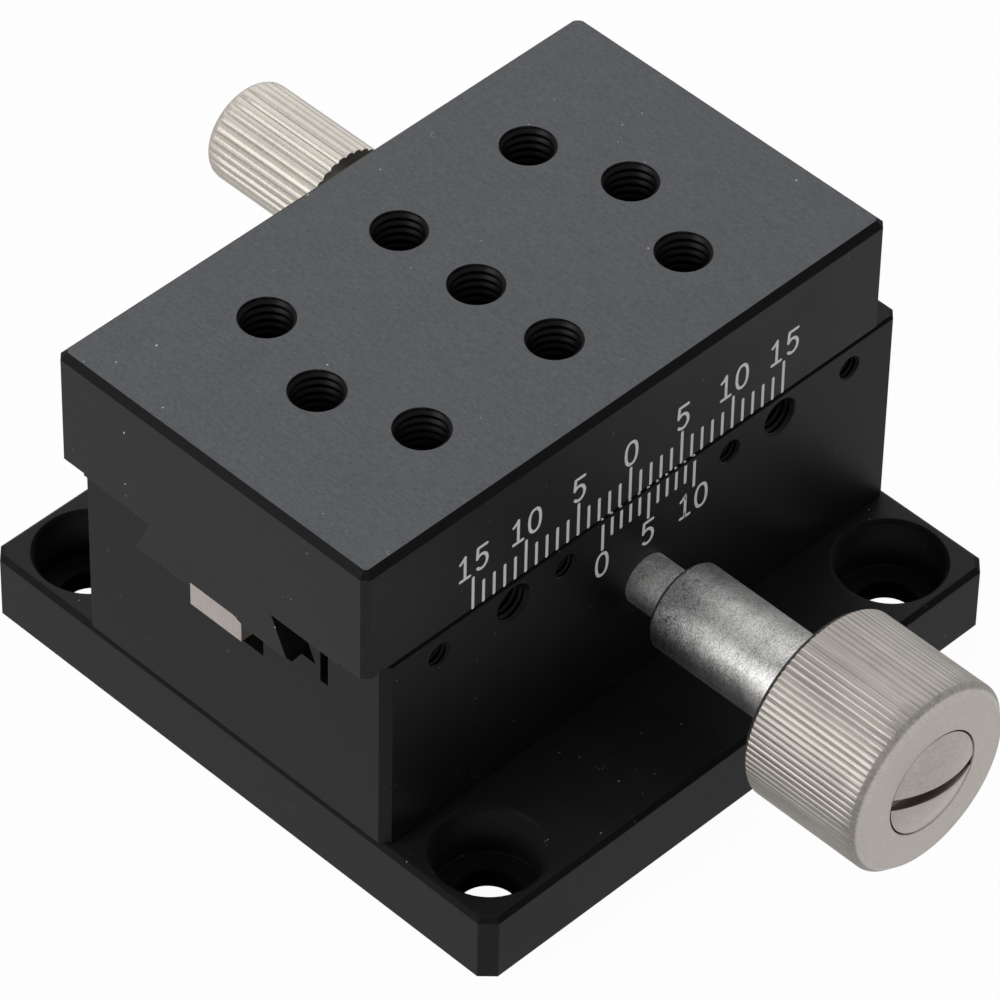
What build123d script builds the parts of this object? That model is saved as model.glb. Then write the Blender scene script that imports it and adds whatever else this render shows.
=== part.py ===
"""Rack and pinion stage: a dovetail slide that a side knob drives along X.

Millimetres, +Z up. The origin is the centre of the base plate's underside. +X is the
direction of travel, the drive knob stands out on the -Y side and the clamp knob on the +Y side.
"""
from build123d import *
from math import acos, ceil, cos, degrees, floor, pi, radians, sin, sqrt, tan
import os

# Main blocks
stage_length = 50.0          # base, body and platform along X
base_width = 50.0
base_height = 6.0
body_width = 30.0
body_height = 17.5
stage_height = 33.5          # from the base's underside to the platform's top face
rest_offset = -1.9           # where the platform stands, from the middle of its travel
travel_each_way = 10.0

# Edge breaks
platform_chamfer = 0.5
body_corner_chamfer = 0.65
body_edge_break = 0.2
base_corner_chamfer = 1.0
base_edge_break = 0.35
hole_chamfer = 0.07
counterbore_chamfer = 0.25

# Clearances
seat_fit = 0.01              # each side, between pieces fixed to one another
run_fit = 0.025              # each side, between a shaft and its bush
way_gap = 0.03               # under the platform's running lands
flank_fit = 0.03             # square to the fixed dovetail flank
gib_gap = 0.25               # square to the sprung dovetail flank
stop_gap = 0.02              # left between the stop pin and the end of its slot

# Dovetail slide
dovetail_angle = 65.0
dovetail_depth = 3.15
dovetail_width = 14.8        # across its lower corners
land_half_width = 12.5       # running lands on each side of the middle
land_height = 0.2            # how far they stand below the platform's outer underside
under_dovetail = 1.25        # from the dovetail's lower face to the ledge in the body
ledge_width = 1.35
ledge_slope_run = 1.0
floor_drop = 1.5             # from the ledge to the channel floor
channel_drop = 1.5           # from the channel floor to the bottom of the rack channel
channel_side_gap = 0.15

# Sprung gib, cut from the body by a saw slot
gib_web = 0.45               # metal left between the slot and the dovetail's inner corner
gib_slot_width = 0.75
gib_slot_depth = 5.6
side_hole_drop = 2.1         # screw holes in the body's sides, below its top

# Rack and pinion
tooth_module = 0.5
pressure_angle = 20.0
pinion_teeth = 18
backlash = 0.05              # shared between the rack's teeth and the pinion's
mesh_gap = 0.04              # added to the distance between pitch line and pinion axis
rack_width = 5.0
rack_height = 2.0            # from its seat to the tooth tips
rack_seat_depth = 0.4
rack_shift = -0.5            # rack and pinion lie this far along Y from the middle
rack_toothed_length = 29.0
rack_chamfer_width = 0.85
rack_chamfer_height = 0.35
rack_screw_pitch = 36.0
pinion_pocket_gap = 0.5
washer_thickness = 0.2
washer_diameter = 7.0

# Drive shaft, its bushes and its knob
shaft_diameter = 4.0
bush_diameter = 5.5
front_bush_length = 9.0
rear_bush_length = 6.0
shaft_rear_recess = 0.5
neck_length = 3.5            # bare shaft between the body and the sleeve
sleeve_diameter = 7.0
sleeve_length = 12.8
sleeve_chamfer = 0.35
sleeve_bore_depth = 9.0
spigot_diameter = 5.0
spigot_length = 6.0
knob_diameter = 15.0
knob_length = 10.6
knob_end_chamfer = 0.75
knob_rear_chamfer = 0.4
knob_teeth = 94
knob_tooth_depth = 0.22
rib_tip_share = 0.24         # of a rib's pitch, flat at its tip
end_screw_head = 8.2
end_screw_rim = 2.1
end_screw_dome = 0.9
end_screw_slot = 0.9
end_screw_slot_depth = 1.3
end_screw_reach = 3.6        # thread inside the sleeve
end_screw_turn = 9.0         # how the slot lies, in degrees

# Clamp at the back
clamp_position = 7.0         # along X from the middle
clamp_screw_length = 18.0
clamp_knob_diameter = 8.0
clamp_knob_length = 10.6
clamp_knob_teeth = 30
clamp_tooth_depth = 0.24
clamp_edge_chamfer = 0.6
clamp_inner_chamfer = 0.3
clamp_press_depth = 5.8
clamp_pad_length = 2.5
clamp_lift = 0.3             # gap at rest between the pad and the dovetail, along Y

# Screw threads, at their outer diameter, and their heads
m4 = 4.0
m3 = 3.0
m2 = 2.0
m4_hole_depth = 7.0
m3_side_hole_depth = 4.8
platform_outer_pitch_x = 12.5
platform_middle_pitch_x = 15.0
platform_pitch_y = 7.5
accessory_hole_x = 13.0
gib_screw_x = (8.0, 20.0)
gib_screw_recess = 1.3        # from the body's side to the screw's end
base_hole_pitch = 40.0
base_hole_diameter = 4.5
base_counterbore_diameter = 8.0
base_counterbore_depth = 4.4
body_screw_x = 17.0
body_screw_y = 9.0
body_screw_length = 10.0
m3_clearance_diameter = 3.4
m3_head_diameter = 5.5
m3_head_height = 3.0
m3_counterbore_diameter = 6.0
m3_counterbore_depth = 3.3
m3_key = 2.5                 # hexagon socket, across its flats
m3_key_depth = 1.5
m2_key = 0.9
m2_key_depth = 1.0
rack_screw_length = 5.0
rack_screw_head = 3.8
rack_screw_sink = 0.1
rack_screw_slot = 0.5
stop_pin_diameter = 2.0
stop_pin_x = 9.0
stop_pin_y = 4.9
stop_pin_seat = 5.0
stop_slot_side_gap = 0.15
stop_slot_roof = 0.4
stop_pin_engagement = 1.2

# Levels and places worked out from the sizes above
base_top = base_height
body_top = base_top + body_height
land_level = body_top + way_gap
platform_under = land_level + land_height
platform_top = stage_height
dovetail_bottom = land_level - dovetail_depth
ledge_level = dovetail_bottom - under_dovetail
floor_level = ledge_level - floor_drop
channel_level = floor_level - channel_drop
slot_bottom = body_top - gib_slot_depth
side_hole_level = body_top - side_hole_drop
flank_slope = tan(radians(dovetail_angle))
flank_sine = sin(radians(dovetail_angle))

pitch_radius = tooth_module * pinion_teeth / 2
tip_radius = pitch_radius + tooth_module
root_radius = pitch_radius - 1.25 * tooth_module
tooth_pitch = pi * tooth_module
rack_seat = dovetail_bottom + rack_seat_depth
rack_tip = rack_seat - rack_height
rack_pitch_line = rack_tip + tooth_module
drive_level = rack_pitch_line - pitch_radius - mesh_gap
channel_width = rack_width + 2 * channel_side_gap

front_face = -body_width / 2
back_face = body_width / 2
sleeve_start = front_face - neck_length
knob_start = sleeve_start - sleeve_length
knob_end = knob_start - knob_length
head_seat = knob_end + end_screw_rim
spigot_end = knob_start - spigot_length
shaft_front_end = sleeve_start - sleeve_bore_depth + seat_fit
shaft_rear_end = back_face - shaft_rear_recess


def block(x_span, y_span, z_span):
    """A box from its two limits along each axis."""
    size = [span[1] - span[0] for span in (x_span, y_span, z_span)]
    middle = [(span[0] + span[1]) / 2 for span in (x_span, y_span, z_span)]
    return Pos(*middle) * Box(*size)


def rod_y(radius, y_from, y_to, x=0.0, z=0.0):
    """A cylinder along Y between two places."""
    middle = (y_from + y_to) / 2
    return Pos(x, middle, z) * Rot(90, 0, 0) * Cylinder(radius, abs(y_to - y_from))


def rod_z(radius, z_from, z_to, x=0.0, y=0.0):
    """A cylinder along Z between two levels."""
    return Pos(x, y, (z_from + z_to) / 2) * Cylinder(radius, abs(z_to - z_from))


def cone_z(r_low, r_high, z_low, z_high, x=0.0, y=0.0):
    """A cone along Z, with a radius for its lower and its upper end."""
    return Pos(x, y, (z_low + z_high) / 2) * Cone(r_low, r_high, z_high - z_low)


def cone_y(r_start, r_end, y_start, y_end, x=0.0, z=0.0):
    """A cone along Y from the lower to the higher y, with a radius at each."""
    middle = (y_start + y_end) / 2
    return Pos(x, middle, z) * Rot(-90, 0, 0) * Cone(r_start, r_end, y_end - y_start)


def along_x(points, x_from, x_to):
    """A prism along X whose outline is a list of (y, z) points."""
    outline = make_face(Polyline(*points, close=True))
    return extrude(Plane.YZ.offset(x_from) * outline, amount=x_to - x_from)


def along_y(points, y_from, y_to):
    """A prism along Y whose outline is a list of (x, z) points."""
    outline = make_face(Polyline(*points, close=True))
    return extrude(Plane.XZ.offset(-y_to) * outline, amount=y_to - y_from)


def hex_socket(key, depth, mouth, inward):
    """A hexagon socket from the middle of its mouth inwards, with a key size across its flats."""
    place = Plane(mouth, x_dir=(1, 0, 0), z_dir=inward)
    return extrude(place * RegularPolygon(key / sqrt(3), 6), amount=depth)


def dovetail_half(level):
    """Half the male dovetail's width at a level; its flanks widen downwards."""
    return dovetail_width / 2 - (level - dovetail_bottom) / flank_slope


def gib_flank(level):
    """Distance of the sprung flank in the body from the middle."""
    return dovetail_half(level) + gib_gap / flank_sine


def fixed_flank(level):
    """Distance of the fixed flank in the body from the middle."""
    return dovetail_half(level) + flank_fit / flank_sine


gib_slot_inner = -(gib_flank(ledge_level) + gib_web)
gib_slot_outer = gib_slot_inner - gib_slot_width


def four_corners(x, y):
    """The four places (+-x, +-y)."""
    return [(sx * x, sy * y) for sx in (-1, 1) for sy in (-1, 1)]


def platform_holes():
    """Centres of the nine threaded holes, from the middle of the platform."""
    outer = platform_outer_pitch_x
    rows = [(n * outer, side * platform_pitch_y) for side in (-1, 1) for n in (-1, 0, 1)]
    return rows + [(n * platform_middle_pitch_x, 0.0) for n in (-1, 0, 1)]


def make_base_plate():
    """Base plate with four counterbored corner holes and the sunk body screw holes."""
    half_x = stage_length / 2
    half_y = base_width / 2
    plate = block((-half_x, half_x), (-half_y, half_y), (0, base_height))
    plate = chamfer(plate.edges().filter_by(Axis.Z), base_corner_chamfer)
    ends = plate.faces().sort_by(Axis.Z)
    plate = chamfer(ends[0].edges() + ends[-1].edges(), base_edge_break)
    counterbore_floor = base_height - base_counterbore_depth
    counterbore = base_counterbore_diameter / 2
    rim = counterbore + counterbore_chamfer
    rim_level = base_height - counterbore_chamfer
    for x, y in four_corners(base_hole_pitch / 2, base_hole_pitch / 2):
        plate -= rod_z(base_hole_diameter / 2, 0, base_height, x, y)
        plate -= rod_z(counterbore, counterbore_floor, base_height, x, y)
        plate -= cone_z(counterbore, rim, rim_level, base_height, x, y)
    for x, y in four_corners(body_screw_x, body_screw_y):
        plate -= rod_z(m3_clearance_diameter / 2, 0, base_height, x, y)
        plate -= rod_z(m3_counterbore_diameter / 2, 0, m3_counterbore_depth, x, y)
    return plate


def body_cavity():
    """Outline of the way cut along the body: both flanks, ledges, floor and rack channel."""
    channel_front = rack_shift - channel_width / 2
    channel_back = rack_shift + channel_width / 2
    gib_corner = gib_flank(ledge_level)
    fixed_corner = fixed_flank(ledge_level)
    gib_ledge_end = gib_corner - ledge_width
    fixed_ledge_end = fixed_corner - ledge_width
    return [
        (-gib_flank(body_top), body_top),
        (-gib_corner, ledge_level),
        (-gib_ledge_end, ledge_level),
        (-gib_ledge_end + ledge_slope_run, floor_level),
        (channel_front, floor_level),
        (channel_front, channel_level),
        (channel_back, channel_level),
        (channel_back, floor_level),
        (fixed_ledge_end - ledge_slope_run, floor_level),
        (fixed_ledge_end, ledge_level),
        (fixed_corner, ledge_level),
        (fixed_flank(body_top), body_top),
    ]


def make_body_block():
    """Body with the female dovetail, sprung gib, pinion pocket, shaft bore and screw holes."""
    half_x = stage_length / 2
    body = block((-half_x, half_x), (front_face, back_face), (base_top, body_top))
    body = chamfer(body.edges().filter_by(Axis.Z), body_corner_chamfer)
    ends = body.faces().sort_by(Axis.Z)
    body = chamfer(ends[0].edges() + ends[-1].edges(), body_edge_break)
    body -= along_x(body_cavity(), -half_x, half_x)
    body -= block((-half_x, half_x), (gib_slot_outer, gib_slot_inner), (slot_bottom, body_top))

    pocket = Plane.XY.offset(drive_level - tip_radius - pinion_pocket_gap)
    pocket_outline = SlotCenterToCenter(2 * (tip_radius + pinion_pocket_gap), channel_width)
    pocket_depth = channel_level - pocket.origin.Z
    body -= extrude(pocket * Pos(0, rack_shift) * pocket_outline, amount=pocket_depth)

    bush_bore = bush_diameter / 2 + seat_fit
    body -= rod_y(bush_bore, front_face, front_face + front_bush_length, z=drive_level)
    body -= rod_y(bush_bore, back_face - rear_bush_length, back_face, z=drive_level)
    shaft_way = (shaft_diameter + bush_diameter) / 4
    body -= rod_y(shaft_way, front_face, back_face, z=drive_level)

    for x, y in four_corners(body_screw_x, body_screw_y):
        body -= rod_z(m3 / 2 + seat_fit, base_top, m3_counterbore_depth + body_screw_length + 1, x, y)
    for x in gib_screw_places():
        body -= rod_y(m2 / 2 + seat_fit, front_face, gib_slot_inner, x, side_hole_level)
    mouth = m3 / 2
    chamfer_end = front_face + hole_chamfer
    for x in (-accessory_hole_x, accessory_hole_x):
        body -= rod_y(mouth, front_face, front_face + m3_side_hole_depth, x, side_hole_level)
        body -= cone_y(mouth + hole_chamfer, mouth, front_face, chamfer_end, x, side_hole_level)
    body -= rod_y(m3 / 2 + run_fit, 0, back_face, clamp_position, side_hole_level)
    pin_hole = stop_pin_diameter / 2 + seat_fit
    body -= rod_z(pin_hole, floor_level - stop_pin_seat, ledge_level, stop_pin_x, stop_pin_y)
    return body


def gib_screw_places():
    """X of the four gib screws, left to right."""
    return sorted([-x for x in gib_screw_x] + list(gib_screw_x))


def make_slide_plate():
    """Platform with its male dovetail, rack seat, stop slot and threaded holes."""
    left = rest_offset - stage_length / 2
    right = rest_offset + stage_length / 2
    plate = block((left, right), (front_face, back_face), (platform_under, platform_top))
    plate = chamfer(plate.edges().filter_by(Axis.Z), platform_chamfer)
    plate = chamfer(plate.faces().sort_by(Axis.Z)[-1].edges(), platform_chamfer)
    plate += block((left, right), (-land_half_width, land_half_width), (land_level, platform_under))
    root = dovetail_half(land_level)
    foot = dovetail_width / 2
    dovetail = [(-root, land_level), (-foot, dovetail_bottom),
                (foot, dovetail_bottom), (root, land_level)]
    plate += along_x(dovetail, left, right)
    seat = rack_width / 2 + seat_fit
    plate -= block((left, right), (rack_shift - seat, rack_shift + seat), (dovetail_bottom, rack_seat))

    slot_centres = 2 * (travel_each_way + stop_gap - stop_slot_side_gap)
    slot = SlotCenterToCenter(slot_centres, stop_pin_diameter + 2 * stop_slot_side_gap)
    slot_place = Plane((rest_offset + stop_pin_x, stop_pin_y, dovetail_bottom))
    plate -= extrude(slot_place * slot, amount=stop_pin_engagement + stop_slot_roof)

    mouth = m4 / 2
    chamfer_start = platform_top - hole_chamfer
    for x, y in platform_holes():
        place = (rest_offset + x, y)
        plate -= rod_z(mouth, platform_top - m4_hole_depth, platform_top, *place)
        plate -= cone_z(mouth, mouth + hole_chamfer, chamfer_start, platform_top, *place)
    for x in rack_screw_places():
        plate -= rod_z(m2 / 2 + seat_fit, rack_seat, rack_screw_top() + 1, x, rack_shift)
    return plate


def rack_screw_places():
    """X of the two rack screws."""
    return [rest_offset - rack_screw_pitch / 2, rest_offset + rack_screw_pitch / 2]


def rack_screw_top():
    """Highest level of the rack screws."""
    return rack_tip + rack_screw_sink + rack_screw_length


def make_rack():
    """Rack, teeth down. One tooth lies over the pinion's axis at rest."""
    half = rack_toothed_length / 2
    first = ceil((rest_offset - half) / tooth_pitch)
    last = floor((rest_offset + half) / tooth_pitch)
    lean = tan(radians(pressure_angle))
    root = rack_tip + 2.25 * tooth_module
    half_at_pitch = tooth_pitch / 4 - backlash / 4
    half_tip = half_at_pitch - tooth_module * lean
    half_root = half_at_pitch + 1.25 * tooth_module * lean
    left = rest_offset - stage_length / 2
    right = rest_offset + stage_length / 2
    points = [(left, rack_seat), (left, rack_tip)]
    points.append(((first - 1) * tooth_pitch + half_tip, rack_tip))
    points.append(((first - 1) * tooth_pitch + half_root, root))
    for n in range(first, last + 1):
        middle = n * tooth_pitch
        points.append((middle - half_root, root))
        points.append((middle - half_tip, rack_tip))
        points.append((middle + half_tip, rack_tip))
        points.append((middle + half_root, root))
    points.append(((last + 1) * tooth_pitch - half_root, root))
    points.append(((last + 1) * tooth_pitch - half_tip, rack_tip))
    points += [(right, rack_tip), (right, rack_seat)]
    front = rack_shift - rack_width / 2
    rack = along_y(points, front, rack_shift + rack_width / 2)
    corner = [(front, rack_seat), (front + rack_chamfer_width, rack_seat),
              (front, rack_seat - rack_chamfer_height)]
    rack -= along_x(corner, left, right)
    for x in rack_screw_places():
        rack -= rack_screw_shape(x, seat_fit, rack_tip)
    return rack


def rack_screw_shape(x, gap, start):
    """A sunk-head screw pointing up, larger all round by a gap, from a starting level."""
    head_level = rack_tip + rack_screw_sink
    head_height = (rack_screw_head - m2) / 2
    radius = m2 / 2 + gap
    shape = rod_z(radius, head_level, rack_screw_top(), x, rack_shift)
    head_top = head_level + head_height
    shape += cone_z(rack_screw_head / 2 + gap, radius, head_level, head_top, x, rack_shift)
    if start < head_level:
        shape += rod_z(rack_screw_head / 2 + gap, start, head_level, x, rack_shift)
    return shape


def make_rack_screws():
    """Two sunk-head screws that hold the rack in its seat."""
    screws = []
    level = rack_tip + rack_screw_sink
    for x in rack_screw_places():
        screw = rack_screw_shape(x, 0, level)
        slot = block((x - rack_screw_head, x + rack_screw_head),
                     (rack_shift - rack_screw_slot / 2, rack_shift + rack_screw_slot / 2),
                     (level, level + rack_screw_slot))
        screws.append(screw - slot)
    return screws


def involute_half_angle(radius):
    """Half the angle that a pinion tooth spans at a radius, with its share of backlash taken off."""
    base = pitch_radius * cos(radians(pressure_angle))
    at_pitch = tan(radians(pressure_angle)) - radians(pressure_angle)
    roll = acos(base / max(radius, base))
    return pi / (2 * pinion_teeth) - backlash / (4 * pitch_radius) + at_pitch - (tan(roll) - roll)


def make_pinion():
    """Spur pinion with involute flanks. A tooth gap faces straight up at rest."""
    base = pitch_radius * cos(radians(pressure_angle))
    flank_steps = 3
    steps = range(flank_steps + 1)
    flank = [root_radius] + [base + (tip_radius - base) * n / flank_steps for n in steps]
    points = []
    for tooth in range(pinion_teeth):
        middle = (tooth + 0.5) * 2 * pi / pinion_teeth
        rise = [(r, middle - involute_half_angle(r)) for r in flank]
        fall = [(r, middle + involute_half_angle(r)) for r in reversed(flank)]
        points += [(r * sin(a), drive_level + r * cos(a)) for r, a in rise + fall]
    half = rack_width / 2 - washer_thickness
    pinion = along_y(points, rack_shift - half, rack_shift + half)
    pinion -= rod_y(shaft_diameter / 2 + seat_fit, rack_shift - half, rack_shift + half, z=drive_level)
    return pinion - pinion_screw_solid(m2 / 2 + seat_fit, tip_radius)


def pinion_screw_solid(radius, reach):
    """A rod square to the shaft. It points down in mid travel, so it never comes to the rack."""
    turn = 180 + degrees(rest_offset / pitch_radius)
    length = reach - shaft_diameter / 2 - seat_fit
    rod = Pos(0, rack_shift, shaft_diameter / 2 + seat_fit + length / 2) * Cylinder(radius, length)
    return Pos(0, 0, drive_level) * Rot(0, turn, 0) * rod


def make_pinion_shaft():
    """Drive shaft with a chamfer at each end."""
    radius = shaft_diameter / 2
    break_size = radius / 8
    shaft = rod_y(radius, shaft_front_end, shaft_rear_end, z=drive_level)
    return chamfer(shaft.edges().filter_by(GeomType.CIRCLE), break_size)


def make_washers():
    """Two thrust washers, one on each side of the pinion."""
    washers = []
    bore = shaft_diameter / 2 + seat_fit
    inner = rack_shift - rack_width / 2
    outer = rack_shift + rack_width / 2
    for start, end in ((inner, inner + washer_thickness), (outer - washer_thickness, outer)):
        ring = rod_y(washer_diameter / 2, start, end, z=drive_level)
        washers.append(ring - rod_y(bore, start, end, z=drive_level))
    return washers


def make_bush(y_from, y_to):
    """A plain bush for the drive shaft."""
    bush = rod_y(bush_diameter / 2, y_from, y_to, z=drive_level)
    return bush - rod_y(shaft_diameter / 2 + run_fit, y_from, y_to, z=drive_level)


def make_knob_sleeve():
    """Sleeve that carries the knob: a bore for the shaft and a spigot in the knob."""
    sleeve = rod_y(sleeve_diameter / 2, sleeve_start, knob_start, z=drive_level)
    sleeve = chamfer(sleeve.edges().filter_by(GeomType.CIRCLE).sort_by(Axis.Y)[-1], sleeve_chamfer)
    sleeve += rod_y(spigot_diameter / 2, knob_start, spigot_end, z=drive_level)
    bore_end = sleeve_start - sleeve_bore_depth
    sleeve -= rod_y(shaft_diameter / 2 + seat_fit, bore_end, sleeve_start, z=drive_level)
    sleeve -= rod_y(m3 / 2 + seat_fit, spigot_end, spigot_end + end_screw_reach + 1, z=drive_level)
    return sleeve - sleeve_screw_rod(m2 / 2 + seat_fit, sleeve_diameter / 2)


def sleeve_screw_rod(radius, reach):
    """A rod from the shaft's surface down through the sleeve's wall."""
    top = drive_level - shaft_diameter / 2 - seat_fit
    return rod_z(radius, drive_level - reach, top, 0, sleeve_start - sleeve_bore_depth / 2)


def make_sleeve_set_screw():
    """Set screw under the sleeve, with a hexagon socket."""
    reach = sleeve_diameter / 2 - sleeve_chamfer / 2
    y = sleeve_start - sleeve_bore_depth / 2
    screw = sleeve_screw_rod(m2 / 2, reach)
    socket_depth = (sleeve_diameter - shaft_diameter) / 4
    return screw - hex_socket(m2_key, socket_depth, (0, y, drive_level - reach), (0, 0, 1))


def make_pinion_set_screw():
    """Set screw that fixes the pinion to its shaft."""
    return pinion_screw_solid(m2 / 2, root_radius)


def ribbed_outline(radius, teeth, depth, x, z):
    """A closed (x, z) outline of straight ribs: two points for each tip and one for each valley."""
    points = []
    for n in range(teeth):
        turn = 2 * pi / teeth
        half_tip = rib_tip_share / 2
        for share, r in ((-half_tip, radius), (half_tip, radius), (0.5, radius - depth)):
            angle = (n + share) * turn
            points.append((x + r * sin(angle), z + r * cos(angle)))
    return points


def ribbed_barrel(radius, teeth, depth, low, high, x, z):
    """Straight ribs round a plain core along Y. Each end is (y, chamfer), and the ribs end there.

    The core is as thick as the ribs' valleys, and it carries the chamfers on past the ribs.
    """
    valley = radius - depth
    core = rod_y(valley, low[0], high[0], x, z)
    for index, (_, size) in zip((0, -1), (low, high)):
        rim = core.edges().filter_by(GeomType.CIRCLE).sort_by(Axis.Y)[index]
        core = chamfer(rim, size - depth)
    ribs = ribbed_outline(radius, teeth, depth, x, z)
    return core + along_y(ribs, low[0] + low[1] - depth / 2, high[0] - high[1] + depth / 2)


def make_drive_knob():
    """Knurled knob with chamfered ends, bored for the sleeve's spigot and the end screw."""
    front = (knob_end, knob_end_chamfer)
    rear = (knob_start, knob_rear_chamfer)
    knob = ribbed_barrel(knob_diameter / 2, knob_teeth, knob_tooth_depth, front, rear, 0.0, drive_level)
    knob -= rod_y(spigot_diameter / 2 + seat_fit, spigot_end, knob_start, z=drive_level)
    knob -= rod_y(m3_clearance_diameter / 2, knob_end, knob_start, z=drive_level)
    return knob - rod_y(end_screw_head / 2 + seat_fit, knob_end, head_seat, z=drive_level)


def make_knob_end_screw():
    """Slotted screw with a low domed head, flush with the knob's end at its rim."""
    radius = end_screw_head / 2
    arc = ThreePointArc((-radius, 0), (0, end_screw_dome), (radius, 0))
    cap = make_face(arc + Line((radius, 0), (-radius, 0)))
    half_cap = cap & Pos(radius / 2, 0) * Rectangle(radius, 4 * end_screw_dome)
    dome = revolve(half_cap, Axis.Y)
    head = rod_y(radius, knob_end, head_seat, z=drive_level)
    head += Pos(0, knob_end, drive_level) * Rot(180, 0, 0) * dome
    head += rod_y(m3 / 2, head_seat, spigot_end + end_screw_reach, z=drive_level)
    slot_floor = knob_end - end_screw_dome + end_screw_slot_depth
    slot = block((-radius, radius), (knob_end - end_screw_dome, slot_floor),
                 (-end_screw_slot / 2, end_screw_slot / 2))
    return head - Pos(0, 0, drive_level) * Rot(0, end_screw_turn, 0) * slot


pad_tip = dovetail_half(side_hole_level) + clamp_lift
pad_end = pad_tip + clamp_pad_length
clamp_screw_end = pad_end + clamp_screw_length
clamp_knob_start = clamp_screw_end - clamp_press_depth
clamp_knob_end = clamp_knob_start + clamp_knob_length


def make_clamp_pad():
    """Pad between the clamp screw and the dovetail, its tip cut to the flank's slope."""
    radius = m3 / 2
    pad = rod_y(radius, 0, pad_end, clamp_position, side_hole_level)
    low = side_hole_level - 2 * radius
    high = side_hole_level + 2 * radius
    waste = along_x([(-radius, low), (dovetail_half(low) + clamp_lift, low),
                     (dovetail_half(high) + clamp_lift, high), (-radius, high)],
                    clamp_position - 2 * radius, clamp_position + 2 * radius)
    return pad - waste


def make_clamp_screw():
    """Threaded stud of the clamp, with a chamfer at each end."""
    screw = rod_y(m3 / 2, pad_end + seat_fit, clamp_screw_end, clamp_position, side_hole_level)
    return chamfer(screw.edges().filter_by(GeomType.CIRCLE), m3 / 10)


def make_clamp_knob():
    """Ribbed clamp knob with chamfered ends, pressed on its stud."""
    inner = (clamp_knob_start, clamp_inner_chamfer)
    outer = (clamp_knob_end, clamp_edge_chamfer)
    knob = ribbed_barrel(clamp_knob_diameter / 2, clamp_knob_teeth, clamp_tooth_depth, inner, outer,
                         clamp_position, side_hole_level)
    bore = m3 / 2 + seat_fit
    return knob - rod_y(bore, clamp_knob_start, clamp_screw_end, clamp_position, side_hole_level)


def make_gib_set_screws():
    """Four set screws whose tips bear on the sprung gib."""
    screws = []
    outer = front_face + gib_screw_recess
    for x in gib_screw_places():
        screw = rod_y(m2 / 2, outer, gib_slot_inner, x, side_hole_level)
        mouth = (x, outer, side_hole_level)
        screws.append(screw - hex_socket(m2_key, m2_key_depth, mouth, (0, 1, 0)))
    return screws


def make_body_screws():
    """Four socket head screws from under the base plate into the body."""
    screws = []
    seat = m3_counterbore_depth
    for x, y in four_corners(body_screw_x, body_screw_y):
        screw = rod_z(m3_head_diameter / 2, seat - m3_head_height, seat, x, y)
        screw += rod_z(m3 / 2, seat, seat + body_screw_length, x, y)
        mouth = (x, y, seat - m3_head_height)
        screws.append(screw - hex_socket(m3_key, m3_key_depth, mouth, (0, 0, 1)))
    return screws


def make_stop_pin():
    """Pin in the body that ends the travel in the slot under the platform."""
    top = dovetail_bottom + stop_pin_engagement
    return rod_z(stop_pin_diameter / 2, floor_level - stop_pin_seat, top, stop_pin_x, stop_pin_y)


parts = {
    "base_plate": make_base_plate(),
    "body_block": make_body_block(),
    "slide_plate": make_slide_plate(),
    "rack": make_rack(),
    "rack_screws": Compound(make_rack_screws()),
    "pinion": make_pinion(),
    "pinion_set_screw": make_pinion_set_screw(),
    "pinion_shaft": make_pinion_shaft(),
    "thrust_washers": Compound(make_washers()),
    "front_bush": make_bush(front_face, front_face + front_bush_length),
    "rear_bush": make_bush(back_face - rear_bush_length, back_face),
    "knob_sleeve": make_knob_sleeve(),
    "sleeve_set_screw": make_sleeve_set_screw(),
    "drive_knob": make_drive_knob(),
    "knob_end_screw": make_knob_end_screw(),
    "clamp_pad": make_clamp_pad(),
    "clamp_screw": make_clamp_screw(),
    "clamp_knob": make_clamp_knob(),
    "gib_set_screws": Compound(make_gib_set_screws()),
    "body_screws": Compound(make_body_screws()),
    "travel_stop_pin": make_stop_pin(),
}

os.makedirs("parts", exist_ok=True)
for name, shape in parts.items():
    export_step(shape, f"parts/{name}.step")
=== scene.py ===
"""Looks of the rack and pinion stage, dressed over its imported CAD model.

The Blender objects are in metres in the CAD model's frame. Sizes in the classes are in
millimetres: -Y is the drive knob's side, +X the way the platform travels, +Z up.
"""
import logging
import math
from dataclasses import dataclass, field
from enum import Enum
from functools import cache
from typing import Sequence

import bmesh
import bpy
import numpy as np
from mathutils import Matrix, Vector


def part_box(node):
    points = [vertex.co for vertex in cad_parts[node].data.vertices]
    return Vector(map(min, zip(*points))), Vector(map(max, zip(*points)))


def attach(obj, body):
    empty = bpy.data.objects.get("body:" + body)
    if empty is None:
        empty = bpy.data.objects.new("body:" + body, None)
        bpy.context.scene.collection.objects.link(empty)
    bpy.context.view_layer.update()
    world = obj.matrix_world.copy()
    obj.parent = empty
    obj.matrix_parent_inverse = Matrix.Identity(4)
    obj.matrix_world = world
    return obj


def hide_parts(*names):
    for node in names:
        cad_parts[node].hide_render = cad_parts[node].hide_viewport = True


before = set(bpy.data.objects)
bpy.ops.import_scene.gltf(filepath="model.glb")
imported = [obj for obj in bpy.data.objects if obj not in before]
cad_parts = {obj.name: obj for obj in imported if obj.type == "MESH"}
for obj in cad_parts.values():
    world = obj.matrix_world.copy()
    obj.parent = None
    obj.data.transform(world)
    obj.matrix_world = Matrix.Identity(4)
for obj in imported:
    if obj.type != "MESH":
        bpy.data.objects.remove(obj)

MM = 0.001
LOG = logging.getLogger("stage_looks")
Colour = tuple[float, float, float]
Socket = bpy.types.NodeSocket
WHITE: Colour = (1.0, 1.0, 1.0)
# The Mix node's sockets for colours.
MIX_A, MIX_B, MIX_RESULT = 6, 7, 2


class Way(Enum):
    """Direction in which machining lines run."""
    ALONG_X = "x"
    ALONG_Y = "y"
    ALONG_Z = "z"
    ROUND_Y = "round"


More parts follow.
